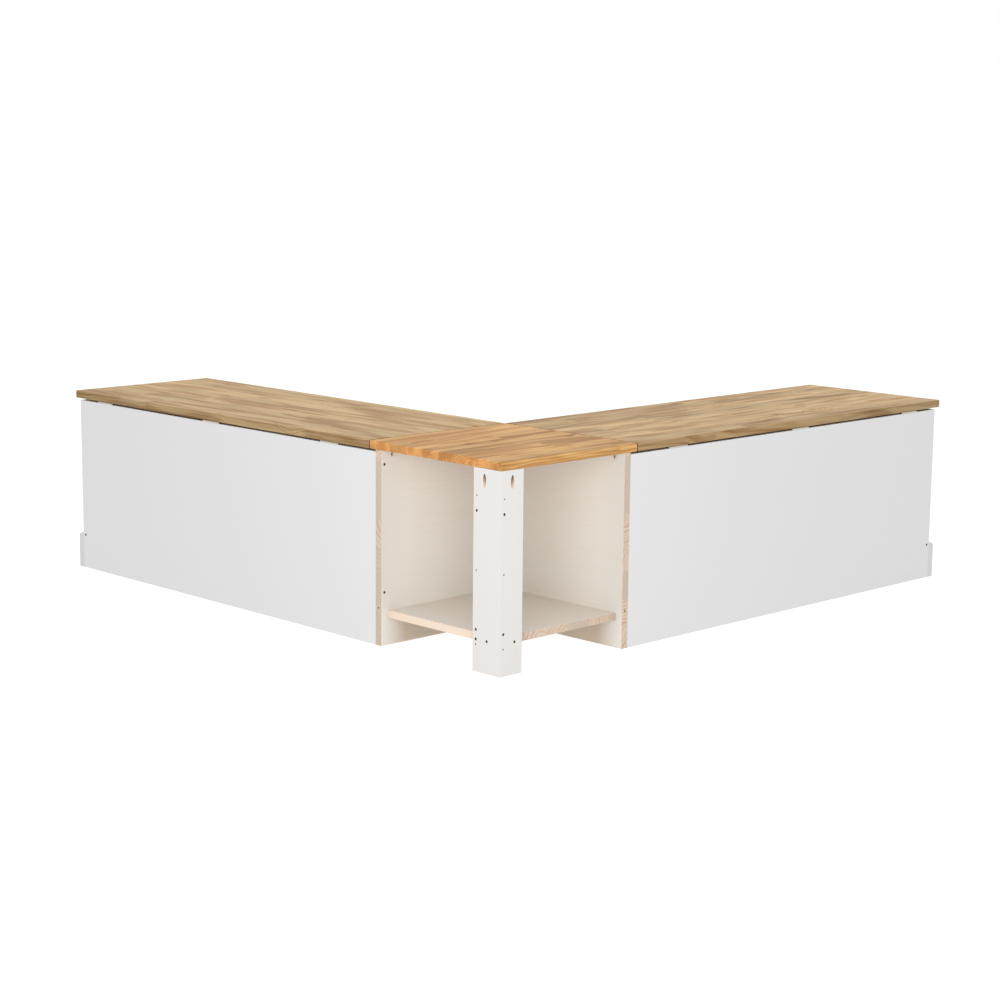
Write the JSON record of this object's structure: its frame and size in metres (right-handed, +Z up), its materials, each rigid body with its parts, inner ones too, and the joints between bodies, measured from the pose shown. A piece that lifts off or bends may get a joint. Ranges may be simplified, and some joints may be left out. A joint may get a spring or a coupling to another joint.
{
  "type": "corner storage bench",
  "caption": "L-shaped corner storage bench: two chests with hinged wooden seat lids and a fixed corner seat over an open shelf compartment.",
  "frame": {"origin": "centre of the floor square that the bench's outline fits in, on the floor; the outer rear corner is at -X, +Y", "axes": "+Z up; the right wing runs along +X with its back to +Y, the left wing runs along -Y with its back to -X; people sit facing -Y on the right wing and +X on the left wing"},
  "size_m": [1.5018, 1.5018, 0.44],
  "materials": {
    "seat_pine": "clear oiled, satin",
    "white_pine": "white lacquer, satin",
    "raw_pine": "planed, unfinished",
    "wood_dowel": "unfinished",
    "hinge_steel": "zinc plated",
    "hinge_screws": "zinc plated",
    "case_screws": "black phosphated"
  },
  "bodies": {
    "bench": {"corner_dowels": "wood_dowel", "corner_pocket_screws": "case_screws", "corner_post_board_left": "white_pine", "corner_post_board_right": "white_pine", "corner_post_screws": "case_screws", "corner_shelf": "white_pine", "corner_side_panel_left": "white_pine", "corner_side_panel_right": "white_pine", "corner_top": "seat_pine", "corner_top_screws": "case_screws", "left_bottom_panel": "white_pine", "left_dowels": "wood_dowel", "left_end_panel": "white_pine", "left_end_plinth": "white_pine", "left_front_cleat": "raw_pine", "left_front_panel": "white_pine", "left_front_plinth": "white_pine", "left_hinge_case_screws": "hinge_screws", "left_hinge_inner_case_leaf": "hinge_steel", "left_hinge_middle_case_leaf": "hinge_steel", "left_hinge_outer_case_leaf": "hinge_steel", "left_hinge_pins": "hinge_steel", "left_long_screws": "case_screws", "left_rear_cleat": "raw_pine", "left_rear_panel": "white_pine", "right_bottom_panel": "white_pine", "right_dowels": "wood_dowel", "right_end_panel": "white_pine", "right_end_plinth": "white_pine", "right_front_cleat": "raw_pine", "right_front_panel": "white_pine", "right_front_plinth": "white_pine", "right_hinge_case_screws": "hinge_screws", "right_hinge_inner_case_leaf": "hinge_steel", "right_hinge_middle_case_leaf": "hinge_steel", "right_hinge_outer_case_leaf": "hinge_steel", "right_hinge_pins": "hinge_steel", "right_long_screws": "case_screws", "right_rear_cleat": "raw_pine", "right_rear_panel": "white_pine"},
    "left_lid": {"left_hinge_inner_lid_leaf": "hinge_steel", "left_hinge_lid_screws": "hinge_screws", "left_hinge_middle_lid_leaf": "hinge_steel", "left_hinge_outer_lid_leaf": "hinge_steel", "left_lid": "seat_pine", "left_lid_batten_inner": "raw_pine", "left_lid_batten_outer": "raw_pine"},
    "right_lid": {"right_hinge_inner_lid_leaf": "hinge_steel", "right_hinge_lid_screws": "hinge_screws", "right_hinge_middle_lid_leaf": "hinge_steel", "right_hinge_outer_lid_leaf": "hinge_steel", "right_lid": "seat_pine", "right_lid_batten_inner": "raw_pine", "right_lid_batten_outer": "raw_pine"}
  },
  "joints": [
    {"name": "right_lid_hinge", "type": "hinge", "parent": "bench", "child": "right_lid", "pos_m": [0.20245, 0.74905, 0.42], "axis": [-1, 0, 0], "range_deg": [0, 95]},
    {"name": "left_lid_hinge", "type": "hinge", "parent": "bench", "child": "left_lid", "pos_m": [-0.74905, -0.20245, 0.42], "axis": [0, -1, 0], "range_deg": [0, 95]}
  ]
}
